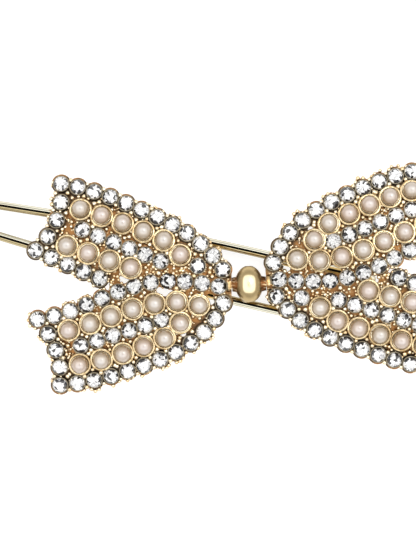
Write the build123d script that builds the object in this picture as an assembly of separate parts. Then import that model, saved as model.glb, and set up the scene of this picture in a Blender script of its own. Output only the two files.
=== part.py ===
from build123d import *
import math
import os

# Rhinestone and pearl bow on a two-jaw wire hair clip.  Millimetres.
# X runs along the clip from its nose (-X) to its hinge (+X), Y across it, Z up out of the bow's
# face.  Everything is drawn about the point of the table straight below the knot, and moved at
# the end so that the origin is the middle of the bounding box's underside.

# --- driving dimensions ---------------------------------------------------------------------
stone_radius = 1.0
pearl_radius = 1.2
wire_radius = 0.6

nose_x = -40.5               # centre of the nose bend
nose_radius = 1.75
flare_end_x = -26.6          # the legs leave the nose straight, bend, and end parallel
parallel_x = 0.0
half_width = 3.6             # leg centre line where the legs run parallel

hinge_x = 15.35
hinge_z = 1.75
upper_slope = 0.87           # degrees, brings the upper nose down onto the lower one
eye_turn = 240.0             # how far each leg curls round the pin
eye_side_gap = 0.08
fixed_eye_gap = 0.01
running_gap = 0.05
pin_radius = 0.5
pin_head_radius = 0.95
pin_head_length = 0.45
jog_start_x = 8.0            # the lower legs step inwards to pass inside the upper eyes
jog_end_x = 12.6
jog_bend_radius = 2.0

spring_wire_radius = 0.2
spring_coil_radius = 1.0
spring_turns = 2.25
spring_pitch = 0.43
spring_middle_gap = 0.03
spring_arm_bend_x = 8.5
spring_arm_end_x = 3.4
spring_bearing_x = 5.4       # where the arm meets its leg
arm_inset = 0.72             # arm centre line from the leg's, sideways and up or down
arm_offset = 0.38

bow_offset_y = -0.87         # the knot sits a little towards one leg
left_angle = 192.9           # direction of each half from the knot
right_angle = 17.4
bow_angle = (left_angle - 180.0 + right_angle) / 2

crest_height = 5.6           # setting rims at the crest of the dome
crest_distance = 15.0        # the crest, measured out from the knot
dome_length_radius = 120.0
dome_width_radius = 50.0

setting_depth = 1.2          # from a setting's rim to the casting's underside
web_thickness = 0.5
stone_wall_radius = 1.15
stone_hole_radius = 0.45
girdle_half = 0.05
cup_wall_radius = 1.3
cup_hole_radius = 0.75       # cleared in the web so that a cup's floor can sink into it
scallop_radius = 1.35        # the web's edge round each stone of the outer rows
pearl_lift = 0.3             # pearl centre above its cup's rim
seat_gap = 0.015

bead_radius = 1.95
bead_half_length = 2.55
bead_drop = 0.7              # bead axis below the rims beside it
knot_pin_radius = 0.5
knot_pin_half_length = 2.9
collar_start = 1.5
collar_end = 2.4
collar_bead_radius = 1.42
collar_bow_radius = 1.2
neck_radius = 1.1
neck_end = 3.1
yoke_length = 2.4
yoke_width = 4.2
fit_gap = 0.01
collar_gap = 0.06            # lets a collar clear the neck that leans away from the bow's line

foot_radius = 0.9
foot_depth = 1.0             # top of a foot below the rims above it
solder_radius = 1.05
solder_height = 0.9
solder_film = 0.12           # solder between a foot and the wire below it
knot_solder_radius = 0.66
knot_solder_inset = 0.75     # towards the clip's middle from the leg it sits on
left_feet = ((-12.5, 1), (-9.0, -1))     # place along the clip, and which leg
right_feet = ((6.0, 1), (12.4, -1))


# --- the bow's domed face -----------------------------------------------------------------------
def rim_plane(u, v):
    """Plane of a setting's rim at (u, v), measured from the knot, its Z the face's normal."""
    roll = math.asin(v / dome_width_radius)
    reach = dome_length_radius - dome_width_radius + dome_width_radius * math.cos(roll)
    pitch = math.asin((u - crest_distance) / reach)
    height = crest_height - dome_length_radius + reach * math.cos(pitch)
    normal = (math.cos(roll) * math.sin(pitch), math.sin(roll), math.cos(roll) * math.cos(pitch))
    return Plane(origin=(u, v, height), z_dir=normal)


def dome(depth):
    """Solid ring whose crest lies a given depth below the setting rims."""
    ring = Torus(dome_length_radius - dome_width_radius, dome_width_radius - depth)
    return Pos(crest_distance, 0, crest_height - dome_length_radius) * Rot(90, 0, 0) * ring


def evenly(curve, count, skip=0):
    """Points at equal steps along a curve, leaving out some at both ends."""
    return [curve @ (step / (count - 1)) for step in range(skip, count - skip)]


front_edge = Spline((3.56, 2.65), (8.4, 8.4), (14.8, 11.35), (20.4, 13.05), (26.1, 13.99))
front_tail = ThreePointArc((26.1, 13.99), (26.6, 9.3), (29.17, 4.87))
middle_row = Spline((29.17, 4.87), (20.55, 2.11), (13.5, -0.2), (9.0, -0.36), (4.17, 0.32))
front_centre = Line((23.2, 8.5), (12.05, 5.0))
rear_notch = Line((29.42, -4.62), (20.6, -0.75))
rear_tail = ThreePointArc((25.97, -13.85), (26.45, -9.1), (29.42, -4.62))
rear_edge = Spline((3.62, -2.0), (8.5, -6.95), (14.76, -10.15), (20.3, -12.4), (25.97, -13.85))
rear_centre = Line((23.0, -7.5), (12.15, -3.15))

front_inner = Spline((24.85, 6.35), (16.1, 3.45), (10.1, 2.45), (6.9, 2.9))
front_outer = Spline((23.35, 11.1), (17.5, 9.6), (14.5, 8.55), (11.75, 7.5), (9.45, 5.35))
rear_outer = Spline((23.25, -10.3), (17.4, -8.35), (14.5, -7.2), (11.75, -6.0), (9.5, -4.0))
rear_inner = Line((25.1, -5.25), (16.3, -2.2))

stone_rows = {
    "front_edge": evenly(front_edge, 12),
    "front_tail": evenly(front_tail, 5, 1),
    "middle_row": evenly(middle_row, 12),
    "front_centre": evenly(front_centre, 6),
    "rear_edge": evenly(rear_edge, 12),
    "rear_tail": evenly(rear_tail, 5, 1),
    "rear_notch": evenly(rear_notch, 5),
    "rear_centre": evenly(rear_centre, 6),
    "rear_accent": [Vector(7.05, -2.5)],
}
pearl_rows = {
    "front_inner": evenly(front_inner, 7),
    "front_outer": evenly(front_outer, 6),
    "rear_outer": evenly(rear_outer, 6),
    "rear_inner": evenly(rear_inner, 4),
}
outer_rows = ("front_edge", "front_tail", "middle_row", "rear_edge", "rear_tail", "rear_notch")

# see-through gaps between the rows: centre and radius
web_gaps = (
    (17.3, -0.7, 0.6),
    (16.6, -0.75, 0.55),
    (12.3, 0.95, 0.5),
    (11.6, 1.1, 0.6),
    (10.85, 1.3, 0.5),
    (5.3, 1.8, 0.5),
    (5.15, 2.45, 0.45),
    (7.6, 4.95, 0.45),
    (7.2, 5.1, 0.4),
    (9.05, 7.0, 0.4),
)


# --- one stone, one pearl, and their settings, drawn at the origin ------------------------------
def turned(points):
    """Solid of revolution about Z from a closed outline of (radius, height) points."""
    outline = Polyline(*[(radius, 0, height) for radius, height in points], close=True)
    return revolve(make_face(outline), Axis.Z)


def stone():
    """Chaton: cone below, girdle, bevelled crown with a flat table."""
    crown_height = 0.42
    return turned([
        (0, -0.78 * stone_radius),
        (stone_radius, -girdle_half),
        (stone_radius, girdle_half),
        (0.55 * stone_radius, crown_height),
        (0, crown_height),
    ])


def pearl():
    return Pos(0, 0, pearl_lift) * Sphere(pearl_radius)


def stone_collet():
    """Thin wall round a conical seat, rooted in the web."""
    hole_radius = stone_hole_radius - 0.05
    seat_edge = stone_radius + seat_gap
    seat_slope = 0.73
    girdle_bottom = -girdle_half - seat_gap
    hole_top = girdle_bottom - seat_slope * (seat_edge - hole_radius)
    root = web_thickness / 2 - setting_depth
    rim = 0.08
    return turned([
        (hole_radius, root),
        (stone_wall_radius, root),
        (stone_wall_radius, rim),
        (seat_edge, rim),
        (seat_edge, girdle_bottom),
        (hole_radius, hole_top),
    ])


def pearl_cup():
    """Cup with a round seat, rooted in the web."""
    root = 0.1 - setting_depth
    rim = 0.05
    body = Pos(0, 0, (root + rim) / 2) * Cylinder(cup_wall_radius, rim - root)
    return body - Pos(0, 0, pearl_lift) * Sphere(pearl_radius + seat_gap)


def placed(rows, shape):
    """For each row, one copy of the shape at every place, turned to the dome."""
    return {name: [rim_plane(place.X, place.Y) * shape for place in places]
            for name, places in rows.items()}


# --- one half of the bow, in its own frame: out from the knot along +X -----------------------------
knot_rim = rim_plane(4.17, 0.32).origin.Z
knot_height = knot_rim - bead_drop


def web():
    """Domed openwork plate that carries every setting of one half."""
    notch = Polyline(front_tail @ 1, (19.4, 1.7), (19.2, -0.15), rear_notch @ 0)
    root = Line(rear_edge @ 0, front_edge @ 0)
    runs = (front_edge, front_tail, notch, rear_tail, rear_edge, root)
    outline = make_face(Wire([edge for run in runs for edge in run.edges()]))
    for row in outer_rows:
        outline += [Pos(place.X, place.Y) * Circle(scallop_radius) for place in stone_rows[row]]
    column = extrude(outline, amount=crest_height + 1)
    plate = (column & dome(setting_depth - web_thickness)) - dome(setting_depth)
    tall = 4
    cutters = [rim_plane(place.X, place.Y) * Cylinder(stone_hole_radius, tall)
               for places in stone_rows.values() for place in places]
    cutters += [rim_plane(place.X, place.Y) * Cylinder(cup_hole_radius, tall)
                for places in pearl_rows.values() for place in places]
    cutters += [rim_plane(u, v) * Cylinder(radius, tall) for u, v, radius in web_gaps]
    return plate - cutters


def neck():
    """Stub that the collar bears on, with a yoke under the settings beside it."""
    length = neck_end - collar_end
    stub = Pos(collar_end + length / 2, 0, knot_height) * Rot(0, 90, 0) * Cylinder(neck_radius, length)
    middle = (collar_end + yoke_length / 2, 0.3, knot_rim - setting_depth + web_thickness / 2)
    return [stub, Pos(*middle) * Box(yoke_length, yoke_width, web_thickness)]


def foot(x, hand, angle):
    """Post from the wire below up into the web, at x along the clip on the leg on one hand."""
    turn = math.radians(angle)
    y = hand * leg_half_width(x) - bow_offset_y
    u = x * math.cos(turn) + y * math.sin(turn)
    v = y * math.cos(turn) - x * math.sin(turn)
    bottom = upper_wire_height(x) + wire_radius + solder_film
    top = rim_plane(u, v).origin.Z - foot_depth
    return Pos(u, v, (bottom + top) / 2) * Cylinder(foot_radius, top - bottom)


def casting(feet, angle):
    """Web, settings, neck and feet of one half in one piece, placed on the clip."""
    settings = [piece for row in placed(stone_rows, stone_collet()).values() for piece in row]
    settings += [piece for row in placed(pearl_rows, pearl_cup()).values() for piece in row]
    posts = [foot(x, hand, angle) for x, hand in feet]
    whole = web().fuse(*settings, *neck(), *posts)
    bore = Cylinder(knot_pin_radius + fit_gap, 2 * (knot_pin_half_length + fit_gap))
    return on_clip(whole, angle) - on_knot(Rot(0, 90, 0) * bore)


def on_clip(shape, angle):
    """Turn a shape drawn out from the knot along +X to its direction on the clip."""
    return Pos(0, bow_offset_y, 0) * Rot(0, 0, angle) * shape


# --- the knot, drawn round its own centre with the bow's length along X ------------------------
def on_knot(shape):
    return on_clip(Pos(0, 0, knot_height) * shape, bow_angle)


def bead_body(extra=0.0):
    """Barrel bead, an ellipse turned about Y, optionally a little larger all over."""
    girth = bead_radius + extra
    half_length = bead_half_length + extra
    end_angle = 78
    end = (girth * math.cos(math.radians(end_angle)), half_length * math.sin(math.radians(end_angle)))
    side = EllipticalCenterArc((0, 0), girth, half_length, start_angle=-end_angle, arc_size=2 * end_angle)
    closing = Polyline(side @ 1, (0, end[1]), (0, -end[1]), side @ 0)
    return revolve(make_face(Wire([*side.edges(), *closing.edges()])), Axis.Y)


def knot_bead():
    return bead_body() - Rot(0, 90, 0) * Cylinder(knot_pin_radius + fit_gap, 3 * bead_radius)


def knot_pin():
    return Rot(0, 90, 0) * Cylinder(knot_pin_radius, 2 * knot_pin_half_length)


def knot_collar(hand):
    """Flared ring between the bead and one casting's neck."""
    length = collar_end - collar_start - collar_gap
    middle = collar_start + length / 2
    cone = Pos(middle, 0, 0) * Rot(0, 90, 0) * Cone(collar_bead_radius, collar_bow_radius, length)
    ring = cone - Rot(0, 90, 0) * Cylinder(knot_pin_radius + fit_gap, 3 * collar_end)
    return Rot(0, 0, 90 - 90 * hand) * (ring - bead_body(fit_gap))


# --- the wire clip ------------------------------------------------------------------------------
def flare_width():
    """Half width where the bend starts, from which the straight flare runs to the nose."""
    bend = parallel_x - flare_end_x
    run = flare_end_x - nose_x
    return (nose_radius * bend + 2 * run * half_width) / (bend + 2 * run)


def leg_half_width(x):
    """Distance of a leg's centre line from the clip's axis at x."""
    if x >= parallel_x:
        return half_width
    bend = parallel_x - flare_end_x
    gain = half_width - flare_width()
    if x >= flare_end_x:
        return half_width - gain * ((parallel_x - x) / bend) ** 2
    return flare_width() - 2 * gain / bend * (flare_end_x - x)


def upper_wire_height(x):
    """Height of the upper wire's centre line at x."""
    drop = math.tan(math.radians(upper_slope)) * (hinge_x - x)
    return hinge_z + pin_radius + fixed_eye_gap + wire_radius - drop


def leg(hand, eye_radius, side, jog):
    """Half of one jaw's wire, from the nose's tip to the end of its eye."""
    height = hinge_z + side * eye_radius
    eye_y = hand * (half_width - jog)
    slant = nose_radius * math.sqrt(0.5)
    tip = (nose_x - nose_radius, 0, height)
    nose_end = (nose_x, hand * nose_radius, height)
    flare_end = (flare_end_x, hand * flare_width(), height)
    bend_end = (parallel_x, hand * half_width, height)
    hinge_top = (hinge_x, eye_y, height)

    nose = ThreePointArc(tip, (nose_x - slant, hand * slant, height), nose_end)
    flare = Line(nose_end, flare_end)
    bend = TangentArc(flare_end, bend_end, tangent=flare % 1)
    if jog:
        step_out = (jog_start_x, hand * half_width, height)
        step_in = (jog_end_x, eye_y, height)
        run = FilletPolyline(bend_end, step_out, step_in, hinge_top, radius=jog_bend_radius)
    else:
        run = Line(bend_end, hinge_top)
    eye_points = [(hinge_x + eye_radius * math.sin(math.radians(turn)), eye_y,
                   hinge_z + side * eye_radius * math.cos(math.radians(turn)))
                  for turn in (0, eye_turn / 2, eye_turn)]
    eye = ThreePointArc(*eye_points)

    path = Wire([edge for run_part in (nose, flare, bend, run, eye) for edge in run_part.edges()])
    section = Plane(origin=tip, z_dir=(0, hand, 0)) * Circle(wire_radius)
    return sweep(section, path=path)


def upper_wire():
    """The jaw that carries the bow, sloped about the hinge so that its nose comes down."""
    eye_radius = pin_radius + fixed_eye_gap + wire_radius
    flat = leg(1, eye_radius, 1, 0) + leg(-1, eye_radius, 1, 0)
    return flat.rotate(Axis((hinge_x, 0, hinge_z), (0, -1, 0)), upper_slope)


def lower_wire():
    """The jaw that swings, flat on the table, with its eyes inside the upper jaw's."""
    eye_radius = pin_radius + running_gap + wire_radius
    jog = 2 * wire_radius + eye_side_gap
    return leg(1, eye_radius, -1, jog) + leg(-1, eye_radius, -1, jog)


def hinge_pin():
    """Pin through all four eyes, riveted over at both ends."""
    shaft_half = half_width + wire_radius + 0.02
    pin = Cylinder(pin_radius, 2 * shaft_half)
    head = Cylinder(pin_head_radius, pin_head_length)
    head = fillet(head.edges().sort_by(Axis.Z)[-1], 0.3)
    head_middle = shaft_half + pin_head_length / 2
    pin = pin + Pos(0, 0, head_middle) * head + Rot(180, 0, 0) * Pos(0, 0, head_middle) * head
    return Pos(hinge_x, 0, hinge_z) * Rot(90, 0, 0) * pin


def spring_half(hand):
    """Half the coil with one arm; -1 bears on the upper wire and +1 on the lower wire."""
    side = -hand
    coil_length = spring_turns * spring_pitch
    coil_end = spring_wire_radius + spring_middle_gap + coil_length
    frame = Plane(origin=(hinge_x, hand * coil_end, hinge_z), x_dir=(0, 0, side), z_dir=(0, -hand, 0))
    turns = frame * Helix(spring_pitch, coil_length, spring_coil_radius)
    coil = sweep(Plane(origin=turns @ 0, z_dir=turns % 0) * Circle(spring_wire_radius), path=turns)

    if side > 0:
        bearing_z = upper_wire_height(spring_bearing_x) + arm_offset
        end_z = upper_wire_height(spring_arm_end_x) + arm_offset
    else:
        bearing_z = wire_radius - arm_offset
        end_z = bearing_z
    arm_start = (hinge_x, hand * coil_end, hinge_z + side * spring_coil_radius)
    bend_z = arm_start[2] + 0.6 * (bearing_z - arm_start[2])
    bearing_y = hand * (half_width - arm_inset)
    route = FilletPolyline(
        arm_start,
        (spring_arm_bend_x, hand * coil_end, bend_z),
        (spring_bearing_x, bearing_y, bearing_z),
        (spring_arm_end_x, bearing_y, end_z),
        radius=0.9)
    arm = sweep(Plane(origin=arm_start, z_dir=route % 0) * Circle(spring_wire_radius), path=route)
    joint = Pos(*arm_start) * Sphere(1.05 * spring_wire_radius)
    return coil + joint + arm


# --- solder --------------------------------------------------------------------------------------
def foot_solder(wire):
    """Saddle of solder round the wire under each foot."""
    saddles = []
    for x, hand in left_feet + right_feet:
        top = upper_wire_height(x) + wire_radius + solder_film
        blank = Cylinder(solder_radius, solder_height)
        saddles.append(Pos(x, hand * leg_half_width(x), top - solder_height / 2) * blank - wire)
    return saddles


def knot_solder(wire):
    """Blob that joins the bead to the wire beside it."""
    wire_top = upper_wire_height(0) + wire_radius
    blob = Pos(0, -half_width + knot_solder_inset, wire_top + 0.15) * Sphere(knot_solder_radius)
    return blob - wire - on_knot(bead_body(fit_gap))


# --- all nodes, moved so that the origin is the middle of the box's underside --------------------
def all_nodes():
    upper = upper_wire()
    nodes = {
        "upper_wire": upper,
        "lower_wire": lower_wire(),
        "hinge_pin": hinge_pin(),
        "spring_fixed_half": spring_half(-1),
        "spring_moving_half": spring_half(1),
        "left_casting": casting(left_feet, left_angle),
        "right_casting": casting(right_feet, right_angle),
        "knot_bead": on_knot(knot_bead()),
        "knot_pin": on_knot(knot_pin()),
        "left_collar": on_knot(knot_collar(-1)),
        "right_collar": on_knot(knot_collar(1)),
        "foot_solder": Compound([solid for saddle in foot_solder(upper) for solid in saddle.solids()]),
        "knot_solder": knot_solder(upper),
    }
    for side, angle in (("left", left_angle), ("right", right_angle)):
        for kind, rows, shape in (("stones", stone_rows, stone()), ("pearls", pearl_rows, pearl())):
            for row, pieces in placed(rows, shape).items():
                group = Compound([solid for piece in pieces for solid in on_clip(piece, angle).solids()])
                nodes[f"{side}_{kind}_{row}"] = group
    return nodes


def main():
    os.makedirs("parts", exist_ok=True)
    nodes = all_nodes()
    box = Compound([solid for shape in nodes.values() for solid in shape.solids()]).bounding_box()
    foot_middle = Vector(box.center().X, box.center().Y, box.min.Z)
    for name, shape in nodes.items():
        export_step(Pos(*-foot_middle) * shape, f"parts/{name}.step")
    print("box", box.size)
    print("hinge", Vector(hinge_x, 0, hinge_z) - foot_middle)
    print("knot", Vector(0, bow_offset_y, knot_height) - foot_middle)


main()
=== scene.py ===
import math

import bmesh
import bpy
import numpy as np
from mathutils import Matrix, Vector
from mathutils.bvhtree import BVHTree
from mathutils.geometry import delaunay_2d_cdt
from mathutils.kdtree import KDTree


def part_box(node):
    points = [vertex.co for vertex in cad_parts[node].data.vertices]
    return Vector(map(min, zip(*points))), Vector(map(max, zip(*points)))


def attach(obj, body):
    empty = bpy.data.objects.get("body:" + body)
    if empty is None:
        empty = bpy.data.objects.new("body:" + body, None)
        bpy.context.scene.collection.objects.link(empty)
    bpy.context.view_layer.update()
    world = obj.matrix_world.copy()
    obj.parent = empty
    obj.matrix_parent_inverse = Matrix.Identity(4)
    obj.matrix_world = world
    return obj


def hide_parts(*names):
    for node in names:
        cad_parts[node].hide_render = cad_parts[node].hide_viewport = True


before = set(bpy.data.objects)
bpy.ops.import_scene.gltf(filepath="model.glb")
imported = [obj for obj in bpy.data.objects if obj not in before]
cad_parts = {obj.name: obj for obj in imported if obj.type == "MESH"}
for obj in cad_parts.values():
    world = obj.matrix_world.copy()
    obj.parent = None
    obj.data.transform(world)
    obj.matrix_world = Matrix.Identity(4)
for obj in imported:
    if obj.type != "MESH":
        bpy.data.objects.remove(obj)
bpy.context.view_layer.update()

# Rhinestone and pearl bow on a two-jaw wire clip. Metres; lengths given in mm are multiplied by mm.
mm = 0.001
bowBody = "bow_and_upper_jaw"
jawBody = "lower_jaw"
sides = ("left", "right")
borderRows = ("front_edge", "front_tail", "rear_notch", "rear_tail", "rear_edge")
innerRows = ("middle_row", "front_centre", "rear_centre", "rear_accent")
pearlRows = ("front_inner", "front_outer", "rear_outer", "rear_inner")
noiseRoughness = 0.55


# shader sums written as plain sums
class Signal:
    def __init__(self, finish, socket):
        self.finish = finish
        self.socket = socket

    def __add__(self, other):
        return self.finish.sums("ADD", self, other)

    def __radd__(self, other):
        return self.finish.sums("ADD", other, self)

    def __sub__(self, other):
        return self.finish.sums("SUBTRACT", self, other)

    def __rsub__(self, other):
        return self.finish.sums("SUBTRACT", other, self)

    def __mul__(self, other):
        return self.finish.sums("MULTIPLY", self, other)

    def __rmul__(self, other):
        return self.finish.sums("MULTIPLY", other, self)

    def __truediv__(self, other):
        return self.finish.sums("DIVIDE", self, other)

    def __gt__(self, other):
        return self.finish.sums("GREATER_THAN", self, other)

    def __lt__(self, other):
        return self.finish.sums("LESS_THAN", self, other)


# one node tree under construction, a material's or the world's
class Finish:
    def __init__(self, name, holder=None):
        self.holder = holder or bpy.data.materials.new(name)
        self.holder.use_nodes = True
        self.tree = self.holder.node_tree
        self.shader = self.tree.nodes.get("Principled BSDF")

    def feed(self, socket, value):
        if isinstance(value, Signal):
            self.tree.links.new(value.socket, socket)
        elif isinstance(value, tuple) and len(value) == 3 and socket.type == "RGBA":
            socket.default_value = (*value, 1.0)
        else:
            socket.default_value = value

    def node(self, kind, settings, values, output=0):
        made = self.tree.nodes.new(kind)
        for name, setting in settings.items():
            if name == "stops":
                while len(made.color_ramp.elements) < len(setting):
                    made.color_ramp.elements.new(0.5)
                for stop, (place, colour) in zip(made.color_ramp.elements, setting):
                    stop.position = place
                    stop.color = (*colour, 1.0)
            else:
                setattr(made, name, setting)
        for name, value in values.items():
            self.feed(made.inputs[name], value)
        return Signal(self, made.outputs[output])

    def sums(self, operation, *terms):
        return self.node("ShaderNodeMath", {"operation": operation}, dict(enumerate(terms)))

    def between(self, value, low, high):
        settings = {"interpolation_type": "SMOOTHSTEP", "clamp": True}
        values = {"Value": value, "From Min": low, "From Max": high}
        return self.node("ShaderNodeMapRange", settings, values)

    def blend(self, amount, first, second, kind="MIX"):
        settings = {"data_type": "RGBA", "blend_type": kind, "clamp_factor": True}
        values = {0: amount, 6: first, 7: second}  # inputs 6 and 7 and output 2 are the colours
        return self.node("ShaderNodeMix", settings, values, 2)

    def ramp(self, value, *stops):
        return self.node("ShaderNodeValToRGB", {"stops": stops}, {"Fac": value})

    def place(self):
        return self.node("ShaderNodeTexCoord", {}, {}, "Object")

    def stretched(self, place, scale):
        return self.node("ShaderNodeMapping", {}, {"Vector": place, "Scale": scale})

    def noise(self, place, scale, detail=3.0):
        values = {"Vector": place, "Scale": scale, "Detail": detail, "Roughness": noiseRoughness}
        return self.node("ShaderNodeTexNoise", {}, values, "Fac")

    def cells(self, place, scale, output, feature="F1", randomness=1.0):
        values = {"Vector": place, "Scale": scale, "Randomness": randomness}
        return self.node("ShaderNodeTexVoronoi", {"feature": feature}, values, output)

    def stored(self, name):
        return self.node("ShaderNodeAttribute", {"attribute_name": name}, {}, "Fac")

    def parts(self, vector):
        split = self.node("ShaderNodeSeparateXYZ", {}, {"Vector": vector})
        return [Signal(self, out) for out in split.socket.node.outputs]

    def joined(self, x, y, z):
        return self.node("ShaderNodeCombineXYZ", {}, {"X": x, "Y": y, "Z": z})

    def bump(self, height, look):
        values = {
            "Height": height,
            "Strength": look["bumpStrength"],
            "Distance": look["bumpDepth"] * mm,
        }
        return self.node("ShaderNodeBump", {}, values)

    def surface(self, **values):
        for name, value in values.items():
            self.feed(self.shader.inputs[name.replace("_", " ")], value)
        return self.holder


# plated wire: pale on the side towards the bright surroundings as painted light, warm on the other,
# olive down the flanks as painted shade, and a dark painted reflection along the crest
wireGold = {
    "litSideGold": (0.84, 0.81, 0.66),
    "warmGold": (0.56, 0.46, 0.26),
    "flankShadeOlive": (0.25, 0.20, 0.10),
    "crestReflection": (0.012, 0.010, 0.006),
    "litSideEdge": (-0.12, 0.2),
    "flankShadeEdge": (0.72, 0.12),
    "crestReflectionEdge": (0.945, 0.968),
    "patchScale": 260.0,
    "patchShare": 0.35,
    "flankShadeShare": 0.85,
    "drawLineScale": (150.0, 4200.0, 4200.0),
    "roughness": 0.09,
    "grain": 0.03,
    "bumpStrength": 0.02,
    "bumpDepth": 0.02,
}


def makeWireGold():
    finish = Finish("plated wire gold")
    place = finish.place()
    patches = finish.noise(place, wireGold["patchScale"])
    drawLines = finish.noise(finish.stretched(place, wireGold["drawLineScale"]), 1.0, 2.0)
    # painted light: the side towards the bright surroundings is paler
    outward = finish.stored("outward") + (patches - 0.5) * 0.2
    # painted shade: olive down the flanks that face sideways
    flank = finish.between(finish.stored("upward"), *wireGold["flankShadeEdge"])
    pale = finish.between(outward, *wireGold["litSideEdge"])
    body = finish.blend(pale, wireGold["warmGold"], wireGold["litSideGold"])
    worn = finish.between(patches, 0.45, 0.75) * wireGold["patchShare"]
    toned = finish.blend(worn, body, wireGold["warmGold"])
    shadeEdged = finish.blend(flank * wireGold["flankShadeShare"], toned, wireGold["flankShadeOlive"])
    # painted reflection: a dark line along the crest of the wire
    upward = finish.stored("upward") + (patches - 0.5) * 0.006
    crestReflectionMask = finish.between(upward, *wireGold["crestReflectionEdge"])
    return finish.surface(
        Base_Color=finish.blend(crestReflectionMask, shadeEdged, wireGold["crestReflection"]),
        Metallic=1.0,
        Roughness=wireGold["roughness"] + wireGold["grain"] * drawLines * patches,
        Normal=finish.bump(drawLines, wireGold),
    )


# cast gold of the bow: painted light and shade by depth, cream on the rims, gold on the walls and
# dark copper down in the recesses, and painted shade dark round the stones and along the border
castGold = {
    "rim": (1.0, 0.90, 0.66),
    "wall": (0.86, 0.64, 0.33),
    "grain": (0.95, 0.78, 0.48),
    "slope": (0.66, 0.43, 0.19),
    "recess": (0.29, 0.14, 0.05),
    "back": (0.80, 0.60, 0.30),
    "lipShade": (0.085, 0.065, 0.042),
    "shadowSilver": (0.045, 0.037, 0.027),
    "coarseScale": 900.0,
    "fineScale": 5200.0,
    "nuggetScale": 1900.0,
    "grainShare": 0.9,
    "outlineShadeShare": 0.85,
    "wearShare": 0.3,
    "roughness": 0.24,
    "roughnessSpread": 0.22,
    "bumpStrength": 0.6,
    "bumpDepth": 0.08,
}


def makeCastGold():
    finish = Finish("cast gold")
    place = finish.place()
    coarse = finish.noise(place, castGold["coarseScale"])
    fine = finish.noise(place, castGold["fineScale"], 4.0)
    # painted light and shade by depth: cream on the rims, darkening to copper down in the recesses
    deep = finish.stored("recess") + (coarse - 0.5) * 0.35
    front = finish.ramp(
        deep,
        (0.0, castGold["rim"]),
        (0.28, castGold["wall"]),
        (0.62, castGold["slope"]),
        (0.95, castGold["recess"]),
    )
    nuggets = finish.cells(place, castGold["nuggetScale"], "Distance")
    border = finish.stored("border")
    raised = finish.between(nuggets, 0.45, 0.15) * finish.between(coarse, 0.32, 0.52)
    raised = raised * (1 - border * 0.8)
    grained = finish.blend(raised * castGold["grainShare"], front, castGold["grain"])
    # painted shade: dark on the lips round the stones and along the border
    lipShade = finish.between(finish.stored("besideStone") - finish.stored("recess"), 0.1, 0.6)
    lipped = finish.blend(lipShade * castGold["outlineShadeShare"], grained, castGold["lipShade"])
    outline = border * finish.between(deep, 0.05, 0.6) * castGold["outlineShadeShare"]
    shadeEdged = finish.blend(outline, lipped, castGold["shadowSilver"])
    worn = finish.between(coarse, 0.4, 0.7) * castGold["wearShare"]
    back = finish.blend(worn, castGold["back"], castGold["wall"])
    colour = finish.blend(finish.stored("underside"), shadeEdged, back)
    return finish.surface(
        Base_Color=colour,
        Metallic=1.0,
        Roughness=castGold["roughness"] + castGold["roughnessSpread"] * fine,
        Normal=finish.bump(fine * 0.3 + coarse + raised * 1.5, castGold),
    )


# bright gold of the claws and, duller, of the pearl rims, both rubbed by handling, with painted shade
# towards their foot
clawGold = {
    "bright": (1.0, 0.93, 0.74),
    "worn": (0.72, 0.50, 0.25),
    "foot": (0.32, 0.14, 0.05),
    "fineScale": 4200.0,
    "broadScale": 1100.0,
    "roughness": 0.14,
    "roughnessSpread": 0.18,
    "bumpStrength": 0.3,
    "bumpDepth": 0.02,
}
cupRimGold = dict(
    clawGold,
    bright=(0.80, 0.66, 0.42),
    worn=(0.36, 0.24, 0.11),
    foot=(0.28, 0.14, 0.05),
)


def makeClawGold(name, look):
    finish = Finish(name)
    place = finish.place()
    fine = finish.noise(place, look["fineScale"])
    broad = finish.noise(place, look["broadScale"], 2.0)
    patchy = finish.blend(finish.between(fine, 0.42, 0.66) * 0.5, look["bright"], look["worn"])
    dulled = finish.stored("chance") * 0.3 + finish.between(broad, 0.42, 0.62) * 0.6
    toned = finish.blend(dulled, patchy, look["worn"])
    # painted shade: darker copper towards the foot
    return finish.surface(
        Base_Color=finish.blend(finish.stored("low"), toned, look["foot"]),
        Metallic=1.0,
        Roughness=look["roughness"] + look["roughnessSpread"] * fine,
        Normal=finish.bump(fine, look),
    )


# satin gold of the knot bead, with a pale painted highlight at its crown and painted shade on its
# lower sides, with fine lines running round it
beadGold = {
    "crown": (0.82, 0.71, 0.46),
    "flank": (0.50, 0.375, 0.19),
    "rim": (0.34, 0.23, 0.10),
    "brushScale": (5200.0, 500.0, 900.0),
    "patchScale": 700.0,
    "patchShare": 0.12,
    "crownHighlightEdge": (1.08, 0.9),
    "rimEdge": (0.38, 0.05),
    "roughness": 0.27,
    "roughnessSpread": 0.1,
    "bumpStrength": 0.1,
    "bumpDepth": 0.02,
}


def makeBeadGold():
    finish = Finish("satin bead gold")
    place = finish.place()
    brushed = finish.noise(finish.stretched(place, beadGold["brushScale"]), 1.0)
    patches = finish.noise(place, beadGold["patchScale"])
    upward = finish.stored("upward") + (patches - 0.5) * 0.08
    # painted highlight: a pale rounded rectangle on the crown
    beside = finish.stored("besideCrown") + (patches - 0.5) * 0.1
    crownHighlight = finish.between(beside, *beadGold["crownHighlightEdge"])
    flank = finish.blend(crownHighlight, beadGold["flank"], beadGold["crown"])
    # painted shade: darker where the sides turn downward
    colour = finish.blend(finish.between(upward, *beadGold["rimEdge"]), flank, beadGold["rim"])
    pale = finish.between(patches, 0.4, 0.8) * beadGold["patchShare"]
    return finish.surface(
        Base_Color=finish.blend(pale, colour, beadGold["crown"]),
        Metallic=1.0,
        Roughness=beadGold["roughness"] + beadGold["roughnessSpread"] * brushed,
        Normal=finish.bump(brushed, beadGold),
    )


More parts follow.
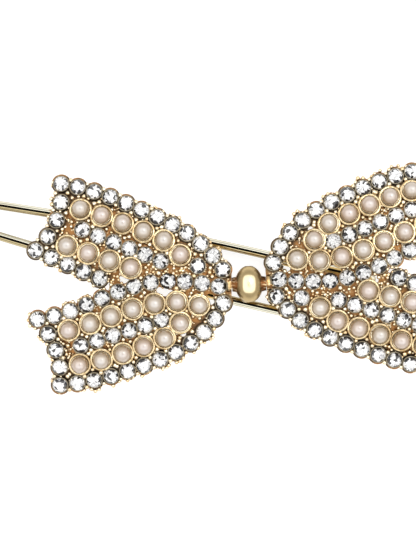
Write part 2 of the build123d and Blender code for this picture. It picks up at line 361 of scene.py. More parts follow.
# darkened copper-gold of the folded collars beside the bead, with pale stripes round them painted as
# reflections
collarGold = {
    "ridge": (0.62, 0.46, 0.26),
    "darkBetweenStripes": (0.15, 0.06, 0.02),
    "stripeReflectionEdge": (0.35, 0.8),
    "patchScale": 1500.0,
    "roughness": 0.2,
    "roughnessSpread": 0.2,
    "bumpStrength": 0.2,
    "bumpDepth": 0.03,
}


def makeCollarGold():
    finish = Finish("coppery collar gold")
    place = finish.place()
    patches = finish.noise(place, collarGold["patchScale"])
    # painted reflections: pale stripes round the collar over its dark copper
    height = finish.stored("ridge") + (patches - 0.5) * 0.5
    ridge = finish.between(height, *collarGold["stripeReflectionEdge"])
    return finish.surface(
        Base_Color=finish.blend(ridge, collarGold["darkBetweenStripes"], collarGold["ridge"]),
        Metallic=1.0,
        Roughness=collarGold["roughness"] + collarGold["roughnessSpread"] * patches,
        Normal=finish.bump(patches, collarGold),
    )


# bright spring wire and pins, gold washed over steel
steelGold = {
    "wash": (0.88, 0.74, 0.46),
    "bare": (0.66, 0.60, 0.50),
    "bareEdge": (0.5, 0.72),
    "patchScale": 600.0,
    "fineScale": 6000.0,
    "roughness": 0.16,
    "roughnessSpread": 0.2,
    "bumpStrength": 0.15,
    "bumpDepth": 0.01,
}


def makeSteelGold():
    finish = Finish("gold washed steel")
    place = finish.place()
    patches = finish.noise(place, steelGold["patchScale"])
    fine = finish.noise(place, steelGold["fineScale"])
    bare = finish.between(patches, *steelGold["bareEdge"])
    return finish.surface(
        Base_Color=finish.blend(bare, steelGold["wash"], steelGold["bare"]),
        Metallic=1.0,
        Roughness=steelGold["roughness"] + steelGold["roughnessSpread"] * patches,
        Normal=finish.bump(fine, steelGold),
    )


# solder under the bow: duller, lumpy, brassy grey
solderTone = {
    "brassy": (0.70, 0.56, 0.33),
    "grey": (0.42, 0.36, 0.28),
    "greyEdge": (0.4, 0.65),
    "lumpScale": 1300.0,
    "roughness": 0.34,
    "roughnessSpread": 0.25,
    "bumpStrength": 0.7,
    "bumpDepth": 0.06,
}


def makeSolder():
    finish = Finish("brassy solder")
    place = finish.place()
    lumps = finish.noise(place, solderTone["lumpScale"], 4.0)
    grey = finish.between(lumps, *solderTone["greyEdge"])
    return finish.surface(
        Base_Color=finish.blend(grey, solderTone["brassy"], solderTone["grey"]),
        Metallic=1.0,
        Roughness=solderTone["roughness"] + solderTone["roughnessSpread"] * lumps,
        Normal=finish.bump(lumps, solderTone),
    )


# clear stone over foil: white, with dark wedges from the rim, all painted reflections of the foiled
# facets
stoneLook = {
    "clear": (0.96, 0.955, 0.94),
    "cloud": (0.36, 0.36, 0.37),
    "dark": (0.012, 0.011, 0.012),
    "seam": (0.10, 0.10, 0.12),
    "foil": (0.62, 0.58, 0.50),
    "wedges": 2.2,
    "wedgeLength": 1.7,
    "wedgeShare": (0.02, 0.42),
    "specks": 2.3,
    "speckShare": (0.085, 0.08),
    "rimEdge": (0.42, 0.92),
    "rimLineEdge": (0.89, 0.95),
    "rimLineShare": 0.9,
    "seamEdge": (0.08, 0.03),
    "roughness": 0.04,
    "roughnessSpread": 0.12,
}


def makeStoneLook():
    finish = Finish("foiled crystal")
    u, v, _ = finish.parts(finish.node("ShaderNodeUVMap", {"uv_map": "facetMap"}, {}))
    chance = finish.stored("chance")
    back = u > 1.5  # the foiled cone is charted two squares to the right of the crown
    x = u * 2 - 1
    y = v * 2 - 1
    reach = finish.sums("SQRT", x * x + y * y)
    turn = finish.sums("ARCTAN2", y, x)
    # chance moves each stone to its own part of both patterns
    polar = finish.joined(turn * stoneLook["wedges"], reach * stoneLook["wedgeLength"], chance * 53.0)
    flat = finish.joined(x * stoneLook["specks"], y * stoneLook["specks"], chance * 91.0)
    # painted reflections of the foiled facets: dark wedges, dark specks, grey facets, seams and a rim
    # line
    wedge = finish.parts(finish.cells(polar, 1.0, "Color", randomness=0.9))
    speck = finish.parts(finish.cells(flat, 1.0, "Color"))
    nearRim = finish.between(reach, *stoneLook["rimEdge"])
    inside, atRim = stoneLook["wedgeShare"]
    darkWedge = wedge[0] < (inside + atRim * nearRim)
    inside, atRim = stoneLook["speckShare"]
    darkSpeck = speck[0] < (inside + atRim * nearRim)
    rimLine = finish.between(reach, *stoneLook["rimLineEdge"]) * finish.between(wedge[1], 0.05, 0.3)
    dark = finish.sums("MAXIMUM", darkWedge, darkSpeck)
    dark = finish.sums("MAXIMUM", dark, rimLine * stoneLook["rimLineShare"])
    facet = finish.blend(speck[1] * wedge[2], stoneLook["clear"], stoneLook["cloud"])
    seamGap = finish.cells(flat, 1.0, "Distance", "DISTANCE_TO_EDGE")
    seams = finish.between(seamGap, *stoneLook["seamEdge"]) * (0.5 + 0.4 * nearRim)
    lined = finish.blend(seams, facet, stoneLook["seam"])
    front = finish.blend(dark, lined, stoneLook["dark"])
    return finish.surface(
        Base_Color=finish.blend(back, front, stoneLook["foil"]),
        Metallic=0.15 + 0.7 * back,
        Roughness=stoneLook["roughness"] + stoneLook["roughnessSpread"] * speck[2],
        IOR=1.6,
        Coat_Weight=1.0 - back,
        Coat_Roughness=0.02,
    )


# glazed pearls: pink cream, paler at the top as a painted highlight, and tan where they sink into
# their cups as painted shade
pearlLook = {
    "pink": (1.0, 0.92, 0.88),
    "green": (0.97, 0.965, 0.92),
    "skirtShade": (0.25, 0.165, 0.09),
    "shoulder": (0.38, 0.29, 0.20),
    "body": (0.44, 0.365, 0.30),
    "crown": (0.50, 0.46, 0.44),
    "cloudScale": 800.0,
    "grainScale": 3000.0,
    "roughness": 0.22,
    "roughnessSpread": 0.08,
    "bumpStrength": 0.04,
    "bumpDepth": 0.02,
}


def makePearlLook():
    finish = Finish("glazed pearl")
    place = finish.place()
    chance = finish.stored("chance")
    _, height, _ = finish.parts(finish.node("ShaderNodeUVMap", {"uv_map": "heightMap"}, {}))
    clouds = finish.noise(place, pearlLook["cloudScale"], 2.0)
    grain = finish.noise(place, pearlLook["grainScale"], 2.0)
    greener = finish.between(chance + (clouds - 0.5), 0.3, 0.7)
    tone = finish.blend(greener, pearlLook["pink"], pearlLook["green"])
    # painted light and shade by height: paler at the top, tan towards the cups
    depth = finish.ramp(
        height,
        (0.60, pearlLook["skirtShade"]),
        (0.80, pearlLook["shoulder"]),
        (0.93, pearlLook["body"]),
        (1.0, pearlLook["crown"]),
    )
    return finish.surface(
        Base_Color=finish.blend(1.0, depth, tone, "MULTIPLY"),
        Roughness=pearlLook["roughness"] + pearlLook["roughnessSpread"] * clouds,
        Coat_Weight=1.0,
        Coat_Roughness=0.07,
        Coat_IOR=2.1,
        IOR=1.55,
        Normal=finish.bump(grain, pearlLook),
    )


finishes = {
    "wire": makeWireGold(),
    "cast": makeCastGold(),
    "claw": makeClawGold("claw gold", clawGold),
    "rim": makeClawGold("pearl rim gold", cupRimGold),
    "bead": makeBeadGold(),
    "collar": makeCollarGold(),
    "steel": makeSteelGold(),
    "solder": makeSolder(),
    "stone": makeStoneLook(),
    "pearl": makePearlLook(),
}
print("finishes made:", len(finishes))

# reading the CAD pieces
weldGap = 0.002 * mm
sharpAngles = {"casting": 32, "plain": 35}


def welded(nodeName):
    work = bmesh.new()
    work.from_mesh(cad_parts[nodeName].data)
    bmesh.ops.remove_doubles(work, verts=work.verts, dist=weldGap)
    work.verts.ensure_lookup_table()
    return work


def solidsOf(nodeName):
    work = welded(nodeName)
    seen = set()
    solids = []
    for start in work.verts:
        if start.index in seen:
            continue
        seen.add(start.index)
        group = [start]
        for vert in group:
            for edge in vert.link_edges:
                other = edge.other_vert(vert)
                if other.index not in seen:
                    seen.add(other.index)
                    group.append(other)
        solids.append(np.array([vert.co for vert in group]))
    work.free()
    return solids


def finished(name, mesh, material, body, replaced):
    mesh.name = name
    mesh.materials.clear()
    mesh.materials.append(material)
    piece = bpy.data.objects.new(name, mesh)
    bpy.context.scene.collection.objects.link(piece)
    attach(piece, body)
    if replaced:
        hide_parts(*replaced)


def meshOf(nodeName, sharpAngle):
    work = welded(nodeName)
    mesh = bpy.data.meshes.new(nodeName)
    work.to_mesh(mesh)
    work.free()
    if "custom_normal" in mesh.attributes:
        mesh.attributes.remove(mesh.attributes["custom_normal"])
    mesh.shade_smooth()
    mesh.set_sharp_from_angle(angle=math.radians(sharpAngle))
    return mesh


def store(mesh, name, values):
    layer = mesh.attributes.new(name, "FLOAT", "POINT")
    layer.data.foreach_set("value", np.asarray(values, np.float32))


def pointsAndNormals(mesh):
    count = len(mesh.vertices)
    points = np.empty(count * 3, np.float32)
    normals = np.empty(count * 3, np.float32)
    mesh.vertices.foreach_get("co", points)
    mesh.vertex_normals.foreach_get("vector", normals)
    return points.reshape(-1, 3), normals.reshape(-1, 3)


# the set stones and pearls: centre of each girdle or pearl, and the way it faces
stoneSizes = {
    "radius": 1.0,
    "shownRadius": 1.11,
    "tableRadius": 0.58,
    "tableDepth": 0.02,
    "crown": 0.42,
    "starRadius": 0.81,
    "starHeight": 0.25,
    "pavilion": 0.78,
    "facets": 8,
}
pearlSizes = {"radius": 1.2, "lift": 0.3, "bands": 16, "steps": 28}


def readStone(points):
    centre = points.mean(0)
    spread, axes = np.linalg.eigh(np.cov((points - centre).T))
    # a first axis from the stone's spread finds the table and the point below it
    axis = axes[:, 0] if spread[1] - spread[0] > spread[2] - spread[1] else axes[:, 2]
    axis = axis * np.sign(axis[2])
    height = (points - centre) @ axis
    table = points[height > height.max() - stoneSizes["tableDepth"] * mm].mean(0)
    culet = points[height.argmin()]
    axis = (table - culet) / np.linalg.norm(table - culet)
    return table - axis * stoneSizes["crown"] * mm, axis


stones = {}
pearls = {}
facingStones = 4  # a pearl faces the way its nearest stones do
for side in sides:
    for row in borderRows + innerRows:
        stones[side, row] = [readStone(points) for points in solidsOf(f"{side}_stones_{row}")]
facingTree = KDTree(sum(len(row) for row in stones.values()))
facings = []
for row in stones.values():
    for centre, axis in row:
        facingTree.insert(centre, len(facings))
        facings.append(axis)
facingTree.balance()
for side in sides:
    for row in pearlRows:
        pearls[side, row] = []
        for points in solidsOf(f"{side}_pearls_{row}"):
            centre = (points.min(0) + points.max(0)) / 2
            axis = sum(facings[index] for _, index, _ in facingTree.find_n(centre, facingStones))
            pearls[side, row].append((centre, axis / np.linalg.norm(axis)))
print("stones read:", len(facings), "pearls read:", sum(len(row) for row in pearls.values()))


# repeated pieces: one tree sets a shape on points, turned to their facing
def buildSettingTree():
    tree = bpy.data.node_groups.new("setOnPoints", "GeometryNodeTree")
    sockets = {}
    for name, kind, direction in (
        ("Points", "Geometry", "INPUT"),
        ("Shape", "Object", "INPUT"),
        ("Size", "Float", "INPUT"),
        ("Size spread", "Float", "INPUT"),
        ("Tilt", "Float", "INPUT"),
        ("Turn", "Float", "INPUT"),
        ("Seed", "Int", "INPUT"),
        ("Finish", "Material", "INPUT"),
        ("Set pieces", "Geometry", "OUTPUT"),
    ):
        socket = tree.interface.new_socket(name, in_out=direction, socket_type="NodeSocket" + kind)
        sockets[name] = socket.identifier

    def node(kind, settings, values):
        made = tree.nodes.new(kind)
        for name, setting in settings.items():
            setattr(made, name, setting)
        for name, value in values.items():
            if isinstance(value, bpy.types.NodeSocket):
                tree.links.new(value, made.inputs[name])
            else:
                made.inputs[name].default_value = value
        return made

    def sums(operation, first, second):
        return node("ShaderNodeMath", {"operation": operation}, {0: first, 1: second}).outputs[0]

    def chance(low, high, seed):
        values = {2: low, 3: high, 8: seed}  # the number's own range and seed inputs
        return node("FunctionNodeRandomValue", {"data_type": "FLOAT"}, values).outputs[1]

    given = node("NodeGroupInput", {}, {}).outputs
    seeds = [sums("ADD", given["Seed"], step) for step in range(5)]
    backTilt = sums("MULTIPLY", given["Tilt"], -1.0)
    turned = node("ShaderNodeCombineXYZ", {}, {
        "X": chance(backTilt, given["Tilt"], seeds[0]),
        "Y": chance(backTilt, given["Tilt"], seeds[1]),
        "Z": chance(0.0, given["Turn"], seeds[2]),
    })
    named = "GeometryNodeInputNamedAttribute"
    facing = node(named, {"data_type": "FLOAT_VECTOR"}, {"Name": "facing"})
    aligned = node("FunctionNodeAlignRotationToVector", {"axis": "Z"}, {"Vector": facing.outputs[0]})
    nudge = node("FunctionNodeEulerToRotation", {}, {0: turned.outputs[0]})
    rotation = node("FunctionNodeRotateRotation", {"rotation_space": "LOCAL"}, {
        0: aligned.outputs[0],
        1: nudge.outputs[0],
    })
    size = node(named, {"data_type": "FLOAT"}, {"Name": "size"}).outputs[0]
    smaller = sums("SUBTRACT", 1.0, given["Size spread"])
    larger = sums("ADD", 1.0, given["Size spread"])
    ownSize = sums("MULTIPLY", size, given["Size"])
    scale = sums("MULTIPLY", ownSize, chance(smaller, larger, seeds[3]))
    shape = node("GeometryNodeObjectInfo", {}, {"Object": given["Shape"]})
    placed = node("GeometryNodeInstanceOnPoints", {}, {
        "Points": given["Points"],
        "Instance": shape.outputs["Geometry"],
        "Rotation": rotation.outputs[0],
        "Scale": scale,
    })
    eachInstance = {"data_type": "FLOAT", "domain": "INSTANCE"}
    marked = node("GeometryNodeStoreNamedAttribute", eachInstance, {
        "Geometry": placed.outputs[0],
        "Name": "chance",
        "Value": chance(0.0, 1.0, seeds[4]),
    })
    real = node("GeometryNodeRealizeInstances", {}, {"Geometry": marked.outputs[0]})
    painted = node("GeometryNodeSetMaterial", {}, {
        "Geometry": real.outputs[0],
        "Material": given["Finish"],
    })
    node("NodeGroupOutput", {}, {"Set pieces": painted.outputs[0]})
    return tree, sockets


settingTree, settingSockets = buildSettingTree()


# each place is a point, the way it faces and a size
def setShapes(name, shape, places, values, material, replaced):
    mesh = bpy.data.meshes.new(name + "Places")
    mesh.from_pydata([tuple(point) for point, _, _ in places], [], [])
    facing = mesh.attributes.new("facing", "FLOAT_VECTOR", "POINT")
    facing.data.foreach_set("vector", np.array([axis for _, axis, _ in places], np.float32).ravel())
    store(mesh, "size", [size for _, _, size in places])
    holder = bpy.data.objects.new(name + "Places", mesh)
    bpy.context.scene.collection.objects.link(holder)
    modifier = holder.modifiers.new("setting", "NODES")
    modifier.node_group = settingTree
    modifier[settingSockets["Shape"]] = shape
    modifier[settingSockets["Finish"]] = material
    for label, value in values.items():
        modifier[settingSockets[label]] = value
    bpy.context.view_layer.update()
    graph = bpy.context.evaluated_depsgraph_get()
    result = bpy.data.meshes.new_from_object(
        holder.evaluated_get(graph), preserve_all_data_layers=True, depsgraph=graph
    )
    bpy.data.objects.remove(holder)
    bpy.data.objects.remove(shape)
    finished(name, result, material, bowBody, replaced)


def shapeObject(name, work, smooth):
    mesh = bpy.data.meshes.new(name)
    bmesh.ops.recalc_face_normals(work, faces=work.faces)
    work.to_mesh(mesh)
    work.free()
    if smooth:
        mesh.shade_smooth()
    shape = bpy.data.objects.new(name, mesh)
    bpy.context.scene.collection.objects.link(shape)
    return shape


def onCircle(radius, height, step, steps):
    angle = 2 * math.pi * step / steps
    return (radius * math.cos(angle), radius * math.sin(angle), height)


def cutStone():
    work = bmesh.new()
    count = stoneSizes["facets"]

    def ring(radius, height, shift, steps):
        return [work.verts.new(onCircle(radius, height, k + shift, steps)) for k in range(steps)]

    table = ring(stoneSizes["tableRadius"], stoneSizes["crown"], 0.5, count)
    stars = ring(stoneSizes["starRadius"], stoneSizes["starHeight"], 0, count)
    girdle = ring(1.0, 0.0, 0, 2 * count)
    culet = work.verts.new((0, 0, -stoneSizes["pavilion"]))
    crown = [work.faces.new(table)]
    for k in range(count):
        near = 2 * k
        crown.append(work.faces.new((table[k - 1], table[k], stars[k])))
        crown.append(work.faces.new((table[k], stars[k], girdle[near + 1], stars[(k + 1) % count])))
        crown.append(work.faces.new((stars[k], girdle[near], girdle[near + 1])))
        crown.append(work.faces.new((stars[k], girdle[near - 1], girdle[near])))
    for k in range(2 * count):
        work.faces.new((girdle[k - 1], girdle[k], culet))
    chart = work.loops.layers.uv.new("facetMap")
    for face in work.faces:
        shift = 0.0 if face in crown else 2.0
        for loop in face.loops:
            loop[chart].uv = (loop.vert.co.x / 2 + 0.5 + shift, loop.vert.co.y / 2 + 0.5)
    return shapeObject("cutStone", work, False)


def lathed(profile, steps, closed=False):
    work = bmesh.new()
    rings = []
    for radius, height in profile:
        if radius:
            circle = [onCircle(radius, height, step, steps) for step in range(steps)]
            rings.append([work.verts.new(point) for point in circle])
        else:
            rings.append([work.verts.new((0, 0, height))] * steps)
    if closed:
        rings.append(rings[0])
    for lower, upper in zip(rings, rings[1:]):
        for step in range(steps):
            corners = dict.fromkeys((lower[step - 1], lower[step], upper[step], upper[step - 1]))
            work.faces.new(tuple(corners))
    return work


def ballShape():
    bands = pearlSizes["bands"]
    angles = [math.pi * k / bands for k in range(bands + 1)]
    profile = [(math.sin(angle), -math.cos(angle)) for angle in angles]
    profile[0] = (0, -1)
    profile[-1] = (0, 1)
    work = lathed(profile, pearlSizes["steps"])
    chart = work.loops.layers.uv.new("heightMap")
    for face in work.faces:
        for loop in face.loops:
            loop[chart].uv = (loop.vert.co.x / 2 + 0.5, loop.vert.co.z / 2 + 0.5)
    return shapeObject("ball", work, True)


# stores how far down each point lies, from 0 at the top to 1 at the bottom, for the painted shade at
# the foot
def withLow(work, top, bottom):
    low = work.verts.layers.float.new("low")
    for vert in work.verts:
        vert[low] = min(1.0, max(0.0, (top - vert.co.z) / (top - bottom)))
    return work


# a claw is a round post with a domed head, one unit in radius
postSizes = {
    "profile": [
        (0, -2.6), (0.8, -2.6), (0.86, -0.7), (1.0, -0.1), (0.93, 0.32), (0.55, 0.74), (0, 0.9)
    ],
    "sides": 8,
    "low": (-0.1, -1.3),
}


def postShape():
    work = lathed(postSizes["profile"], postSizes["sides"])
    return shapeObject("post", withLow(work, *postSizes["low"]), True)


rimSizes = {
    "radius": 1.42,
    "width": 0.22,
    "height": 0.11,
    "lift": 0.02,
    "sides": 8,
    "steps": 28,
    "low": (0.0, -0.2),
}


def ringShape():
    profile = []
    for step in range(rimSizes["sides"]):
        angle = 2 * math.pi * (step + 0.5) / rimSizes["sides"]
        profile.append((
            rimSizes["radius"] + rimSizes["width"] * math.cos(angle),
            rimSizes["lift"] + rimSizes["height"] * math.sin(angle),
        ))
    work = lathed(profile, rimSizes["steps"], closed=True)
    return shapeObject("ring", withLow(work, *rimSizes["low"]), True)


fullTurn = 6.283


def settingValues(size, spread, tilt, seed):
    return {"Size": size, "Size spread": spread, "Tilt": tilt, "Turn": fullTurn, "Seed": seed}


stoneValues = settingValues(stoneSizes["shownRadius"] * mm, 0.0, 0.035, 11)
pearlValues = settingValues(pearlSizes["radius"] * mm, 0.006, 0.0, 23)
grainValues = settingValues(mm, 0.12, 0.16, 37)
ringValues = settingValues(mm, 0.012, 0.03, 51)


# gives each row of each half its own seed
def seeded(values, side, row, places, step):
    shift = step * len(places) + len(row) + (100 if side == "left" else 0)
    return dict(values, Seed=values["Seed"] + shift)


for side in sides:
    for row in borderRows + innerRows:
        places = [(*setting, 1.0) for setting in stones[side, row]]
        values = seeded(stoneValues, side, row, places, 7)
        setShapes(
            f"{side}Stones.{row}", cutStone(), places, values,
            finishes["stone"], [f"{side}_stones_{row}"],
        )
    for row in pearlRows:
        places = [(*setting, 1.0) for setting in pearls[side, row]]
        values = seeded(pearlValues, side, row, places, 1)
        setShapes(
            f"{side}Pearls.{row}", ballShape(), places, values,
            finishes["pearl"], [f"{side}_pearls_{row}"],
        )
print("stones and pearls set")

knotLow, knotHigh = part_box("knot_bead")
knot = (knotLow + knotHigh) / 2
knotPoint = np.array(knot)
leftLow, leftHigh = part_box("left_collar")
rightLow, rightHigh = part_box("right_collar")
bowLine = (rightLow + rightHigh - leftLow - leftHigh).normalized()

# castings, with how deep each point lies, which sets the painted shade, and whether it is on the
# border, beside a stone or underneath; the necks beside the knot count as deep, so they take the
# painted shade of the recesses
castingZones = {
    "recessDepth": 0.7,
    "borderReach": 1.5,
    "neckReach": 3.3,
    "neckAside": 1.2,
    "neckShade": 0.97,
    "backDepth": 0.9,
    "backFacing": -0.5,
}


# the middle of each pearl's cup, level with its edge
def cupRims(side):
    return [
        (centre - axis * pearlSizes["lift"] * mm, axis)
        for row in pearlRows
        for centre, axis in pearls[side, row]
    ]


def rimPoints(side):
    rims = [
        (centre, axis, row in borderRows, 1.0)
        for row in borderRows + innerRows
        for centre, axis in stones[side, row]
    ]
    return rims + [(centre, axis, False, 0.0) for centre, axis in cupRims(side)]


castings = {}
for side in sides:
    mesh = meshOf(f"{side}_casting", sharpAngles["casting"])
    points, normals = pointsAndNormals(mesh)
    rims = rimPoints(side)
    tree = KDTree(len(rims))
    for index, (centre, _, _, _) in enumerate(rims):
        tree.insert(centre, index)
    tree.balance()
    recess, border, underside, besideStone = [], [], [], []
    for point, normal in zip(points, normals):
        _, index, gap = tree.find(point)
        centre, axis, onBorder, isStone = rims[index]
        depth = float((centre - point) @ axis) / mm
        aside = np.linalg.norm(point - centre + axis * depth * mm) / mm
        nearKnot = np.linalg.norm(point - knotPoint) < castingZones["neckReach"] * mm
        inNeck = nearKnot and aside > castingZones["neckAside"]
        sunk = min(1.0, max(0.0, depth / castingZones["recessDepth"]))
        turnedAway = float(normal @ axis) < castingZones["backFacing"]
        isBack = depth > castingZones["backDepth"] or turnedAway
        # the necks take the painted shade of the recesses
        recess.append(castingZones["neckShade"] if inNeck else sunk)
        border.append(float(onBorder and aside < castingZones["borderReach"] and not inNeck))
        besideStone.append(0.0 if inNeck else isStone)
        underside.append(1.0 if isBack and not inNeck else 0.0)
    store(mesh, "recess", recess)
    store(mesh, "border", border)
    store(mesh, "besideStone", besideStone)
    store(mesh, "underside", underside)
    castings[side] = BVHTree.FromPolygons(
        [tuple(point) for point in points], [tuple(face.vertices) for face in mesh.polygons]
    )
    finished(f"{side}Casting", mesh, finishes["cast"], bowBody, [f"{side}_casting"])
print("castings finished")

# claws in the gaps between neighbours and outside the border between its stones, and smaller
# grains where there is room left
grains = {
    "cupWall": 0.2,
    "longestSide": 3.7,
    "largest": 0.36,
    "smallest": 0.13,
    "bite": 0.07,
    "sink": 0.1,
    "castingReach": 2.4,
    "centringRounds": 40,
    "centringStep": 0.1,
    "outsideReach": 0.78,
    "outsideRadius": 0.3,
    "outsideLift": 0.06,
    "outsideCrowd": 0.15,
    "neighbourGap": 2.7,
    "fillerTries": 4000,
    "fillerSmallest": 0.14,
    "fillerLargest": 0.30,
    "fillerSlack": 0.04,
    "fillerGap": 0.02,
    "fillerSink": (0.05, 0.35),
    "fillerSeed": 64,
}
joinTolerance = 1e-6


def clawPlaces(side):
    cupRadius = pearlSizes["radius"] + grains["cupWall"]
    items = [
        (centre, axis, stoneSizes["radius"])
        for row in borderRows + innerRows
        for centre, axis in stones[side, row]
    ]
    items += [(centre, axis, cupRadius) for centre, axis in cupRims(side)]
    places = []

    # a claw is kept only where there is metal under it
    def addClaw(spot, axis, radius):
        reach = grains["castingReach"] * mm
        hit = castings[side].ray_cast(Vector(spot + axis * mm), -Vector(axis), reach)
        if hit[0] is not None:
            places.append((spot - axis * grains["sink"] * mm, axis, radius))

    flat = [Vector((centre[0] / mm, centre[1] / mm)) for centre, _, _ in items]
    _, _, triangles, origins, _, _ = delaunay_2d_cdt(flat, [], [], 0, joinTolerance)
    for triangle in triangles:
        near = [items[origins[index][0]] for index in triangle]
        longest = max(np.linalg.norm(near[k][0] - near[k - 1][0]) for k in range(3))
        if longest > grains["longestSide"] * mm:
            continue
        # the spot is moved about until it is as far from all three rims
        weights = np.ones(3) / 3
        for _ in range(grains["centringRounds"]):
            spot = sum(weight * item[0] for weight, item in zip(weights, near))
            gaps = np.array([np.linalg.norm(spot - item[0]) / mm - item[2] for item in near])
            weights += (gaps - gaps.mean()) * grains["centringStep"]
            weights = np.clip(weights, 0.0, 1.0)
            weights /= weights.sum()
        axis = sum(item[1] for item in near)
        axis /= np.linalg.norm(axis)
        radius = gaps.min() + grains["bite"]
        if radius > grains["smallest"]:
            addClaw(spot, axis, min(radius, grains["largest"]))

    edge = [stone for row in borderRows for stone in stones[side, row]]
    for first in range(len(edge)):
        for second in range(first):
            a, b = edge[first], edge[second]
            if np.linalg.norm(a[0] - b[0]) > grains["neighbourGap"] * mm:
                continue
            spot = (a[0] + b[0]) / 2
            axis = (a[1] + b[1]) / np.linalg.norm(a[1] + b[1])
            across = np.cross(a[0] - b[0], axis)
            across /= np.linalg.norm(across)
            for way in (-1, 1):
                claw = spot + across * way * grains["outsideReach"] * mm
                gap = min(np.linalg.norm(claw - item[0]) / mm - item[2] for item in items)
                crowd = min(np.linalg.norm(claw - place[0]) / mm - place[2] for place in places)
                isFree = gap > grains["outsideRadius"] - 2 * grains["bite"]
                if isFree and crowd > grains["outsideCrowd"]:
                    lifted = claw + axis * grains["outsideLift"] * mm
                    places.append((lifted, axis, grains["outsideRadius"]))

    chance = np.random.default_rng(grains["fillerSeed"])
    centres = np.array([item[0] for item in items])
    reaches = np.array([item[2] for item in items])
    low, high = centres[:, :2].min(0), centres[:, :2].max(0)
    tries = chance.uniform(low, high, (grains["fillerTries"], 2))
    flatGaps = np.sqrt(((tries[:, None] - centres[None, :, :2]) ** 2).sum(2)) / mm - reaches
    roomy = flatGaps.min(1) > grains["fillerSmallest"] - grains["fillerSlack"]
    for spotXY in tries[roomy]:
        near = np.argsort(((centres[:, :2] - spotXY) ** 2).sum(1))[:3]
        axis = sum(items[index][1] for index in near) / 3
        axis /= np.linalg.norm(axis)
        base = items[near[0]][0]
        height = base[2] - ((spotXY - base[:2]) @ axis[:2]) / axis[2]
        spot = np.array((*spotXY, height))
        gap = (np.linalg.norm(centres - spot, axis=1) / mm - reaches).min()
        crowd = min(np.linalg.norm(spot - place[0]) / mm - place[2] for place in places)
        radius = min(gap + grains["fillerGap"], crowd - grains["fillerGap"], grains["fillerLargest"])
        if radius > grains["fillerSmallest"]:
            addClaw(spot - axis * chance.uniform(*grains["fillerSink"]) * mm, axis, radius)
    return places


for side in sides:
    claws = clawPlaces(side)
    setShapes(f"{side}Claws", postShape(), claws, grainValues, finishes["claw"], [])
    cups = [(*rim, 1.0) for rim in cupRims(side)]
    setShapes(f"{side}PearlRims", ringShape(), cups, ringValues, finishes["rim"], [])
    print(side, "claws:", len(claws), "pearl rims:", len(cups))


# wires, hinge, springs, bead, collars and solder from their CAD shapes
def plainPiece(name, node, material, body, paint=None):
    mesh = meshOf(node, sharpAngles["plain"])
    if paint:
        for label, values in paint(mesh).items():
            store(mesh, label, values)
    finished(name, mesh, finishes[material], body, [node])


noseLitSideStart = -12.0  # towards the nose both legs get the painted light on the same side


# the side of each wire that gets the painted light, and how far each point faces up for its painted
# shade and crest reflection
def wirePaint(mesh):
    points, normals = pointsAndNormals(mesh)
    litSideSign = np.where((points[:, 1] > 0) | (points[:, 0] < noseLitSideStart * mm), 1.0, -1.0)
    return {"outward": litSideSign * normals[:, 1], "upward": normals[:, 2]}


# size of the painted highlight on the bead's crown
highlightPatch = {"halfWidth": 0.85, "halfLength": 1.25}


def beadPaint(mesh):
    points, normals = pointsAndNormals(mesh)
    lengthwise = bowLine.cross(Vector((0, 0, 1)))
    across = (points - knotPoint) @ np.array(bowLine) / (highlightPatch["halfWidth"] * mm)
    along = (points - knotPoint) @ np.array(lengthwise) / (highlightPatch["halfLength"] * mm)
    beside = (across ** 4 + along ** 4) ** 0.25  # a rectangle with round corners
    return {"upward": normals[:, 2], "besideCrown": np.where(normals[:, 2] > 0, beside, 2.0)}


collarShape = {"slim": 0.8, "reflectionStripes": 15}


# the collars are drawn in towards their axis, so that the bead shows past them
def collarPaint(mesh):
    points, _ = pointsAndNormals(mesh)
    for vert in mesh.vertices:
        across = vert.co - knot
        along = bowLine * across.dot(bowLine)
        vert.co = knot + along + (across - along) * collarShape["slim"]
    # pale stripes painted as reflections, running round the collar
    turn = np.arctan2(points[:, 2] - knot.z, points[:, 1] - knot.y)
    reflectionStripes = 0.34 * np.cos(turn * collarShape["reflectionStripes"])
    return {"ridge": 0.36 + reflectionStripes + 0.12 * np.cos(turn * 4 + 1)}


plainPiece("upperWire", "upper_wire", "wire", bowBody, paint=wirePaint)
plainPiece("lowerWire", "lower_wire", "wire", jawBody, paint=wirePaint)
plainPiece("hingePin", "hinge_pin", "steel", bowBody)
plainPiece("springFixedHalf", "spring_fixed_half", "steel", bowBody)
plainPiece("springMovingHalf", "spring_moving_half", "steel", jawBody)
plainPiece("knotBead", "knot_bead", "bead", bowBody, paint=beadPaint)
plainPiece("knotPin", "knot_pin", "steel", bowBody)
plainPiece("leftCollar", "left_collar", "collar", bowBody, paint=collarPaint)
plainPiece("rightCollar", "right_collar", "collar", bowBody, paint=collarPaint)
plainPiece("footSolder", "foot_solder", "solder", bowBody)
plainPiece("knotSolder", "knot_solder", "solder", bowBody)
print("wires, hinge, bead and collars finished")

# pale floor under the clip
floorValues = {
    "halfSize": 2.5,
    "tone": 0.30,
    "darkerTone": 0.96,
    "grainScale": 40.0,
    "grainShare": 0.04,
    "roughness": 0.9,
    "glow": 0.86,
}


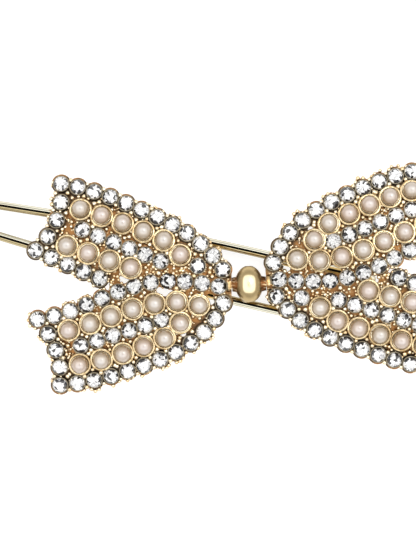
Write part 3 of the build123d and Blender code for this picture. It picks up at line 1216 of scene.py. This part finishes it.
def makeFloor():
    finish = Finish("pale paper floor")
    grain = finish.noise(finish.place(), floorValues["grainScale"])
    tone = floorValues["tone"]
    darker = tone * floorValues["darkerTone"]
    material = finish.surface(
        Base_Color=finish.blend(grain * floorValues["grainShare"], (tone,) * 3, (darker,) * 3),
        Roughness=floorValues["roughness"],
        Emission_Color=(1.0, 1.0, 1.0),
        Emission_Strength=floorValues["glow"],
    )
    # the floor is seen from above only, so that the underside can be looked at
    below = finish.node("ShaderNodeNewGeometry", {}, {}, "Backfacing")
    clear = finish.node("ShaderNodeBsdfTransparent", {}, {})
    lit = Signal(finish, finish.shader.outputs[0])
    finish.tree.links.new(
        finish.node("ShaderNodeMixShader", {}, {0: below, 1: lit, 2: clear}).socket,
        finish.tree.nodes["Material Output"].inputs["Surface"],
    )
    half = floorValues["halfSize"]
    mesh = bpy.data.meshes.new("floor")
    corners = [(-half, -half, 0), (half, -half, 0), (half, half, 0), (-half, half, 0)]
    mesh.from_pydata(corners, [], [(0, 1, 2, 3)])
    mesh.materials.append(material)
    floor = bpy.data.objects.new("floor", mesh)
    bpy.context.scene.collection.objects.link(floor)


makeFloor()

# soft light: a wide white box overhead with a small dim opening in it, pale walls lower down
# and one small lamp; places and sizes are measured on a ceiling one unit up
studio = {
    "box": 1.95,
    "boxAlong": 1.48,
    "boxAcross": 1.0,
    "boxBlur": (0.1, 0.08),
    "wall": 0.62,
    "horizon": 1.0,
    "wallEdge": (0.02, 0.4),
    "opening": 0.2,
    "openingBlur": 0.05,
    "openingDark": 0.3,
    "lamp": 6.5,
    "lampAlong": 0.30,
    "lampAcross": 0.26,
    "lampRadius": 0.13,
    "lampBlur": 0.02,
    "lampEdge": (0.1, 0.2),
    "lowest": 0.001,
    "tint": (1.0, 0.995, 0.985),
}
viewTurn = math.radians(12.9)


def makeStudio():
    world = bpy.data.worlds.new("studio")
    bpy.context.scene.world = world
    light = Finish("studio", world)
    x, y, z = light.parts(light.node("ShaderNodeTexCoord", {}, {}, "Generated"))
    up = light.sums("MAXIMUM", z, studio["lowest"])
    right = (x * math.cos(viewTurn) + y * math.sin(viewTurn)) / up
    back = (y * math.cos(viewTurn) - x * math.sin(viewTurn)) / up
    along = light.sums("ABSOLUTE", right)
    across = light.sums("ABSOLUTE", back)
    length, width = studio["boxAlong"], studio["boxAcross"]
    blurAlong, blurAcross = studio["boxBlur"]
    inLength = light.between(along, length + blurAlong, length - blurAlong)
    inWidth = light.between(across, width + blurAcross, width - blurAcross)
    inBox = inLength * inWidth
    middleGap = light.sums("SQRT", along * along + across * across)
    opening = light.between(middleGap, studio["opening"] + studio["openingBlur"], studio["opening"])
    rise = light.between(z, *studio["wallEdge"])
    wall = studio["horizon"] + (studio["wall"] - studio["horizon"]) * rise
    lampX = right - studio["lampAlong"]
    lampY = back - studio["lampAcross"]
    lampGap = light.sums("SQRT", lampX * lampX + lampY * lampY)
    lamp = light.between(lampGap, studio["lampRadius"] + studio["lampBlur"], studio["lampRadius"])
    lamp = lamp * light.between(z, *studio["lampEdge"])
    boxed = wall + (studio["box"] - wall) * inBox
    soft = boxed * (1 - opening) + studio["openingDark"] * opening
    background = light.tree.nodes["Background"]
    light.feed(background.inputs["Strength"], soft + studio["lamp"] * lamp)
    light.feed(background.inputs["Color"], studio["tint"])


makeStudio()
bpy.context.scene.view_settings.view_transform = "Standard"

# camera straight overhead, turned to the clip's slant
cameraValues = {
    "height": 0.5,
    "seenLength": 76.41,
    "alongFromKnot": -5.66,
    "upFromKnot": 0.97,
    "clipNear": 0.01,
    "clipFar": 20.0,
}


def makeCamera():
    data = bpy.data.cameras.new("camera")
    camera = bpy.data.objects.new("camera", data)
    bpy.context.scene.collection.objects.link(camera)
    rightward = Vector((math.cos(viewTurn), math.sin(viewTurn), 0))
    upward = Vector((-math.sin(viewTurn), math.cos(viewTurn), 0))
    shift = rightward * cameraValues["alongFromKnot"] + upward * cameraValues["upFromKnot"]
    aim = knot + shift * mm
    camera.location = (aim.x, aim.y, knot.z + cameraValues["height"])
    camera.rotation_euler = (0, 0, viewTurn)
    data.lens = data.sensor_width * cameraValues["height"] / (cameraValues["seenLength"] * mm)
    data.clip_start = cameraValues["clipNear"]
    data.clip_end = cameraValues["clipFar"]
    data.dof.use_dof = False
    bpy.context.scene.camera = camera


makeCamera()
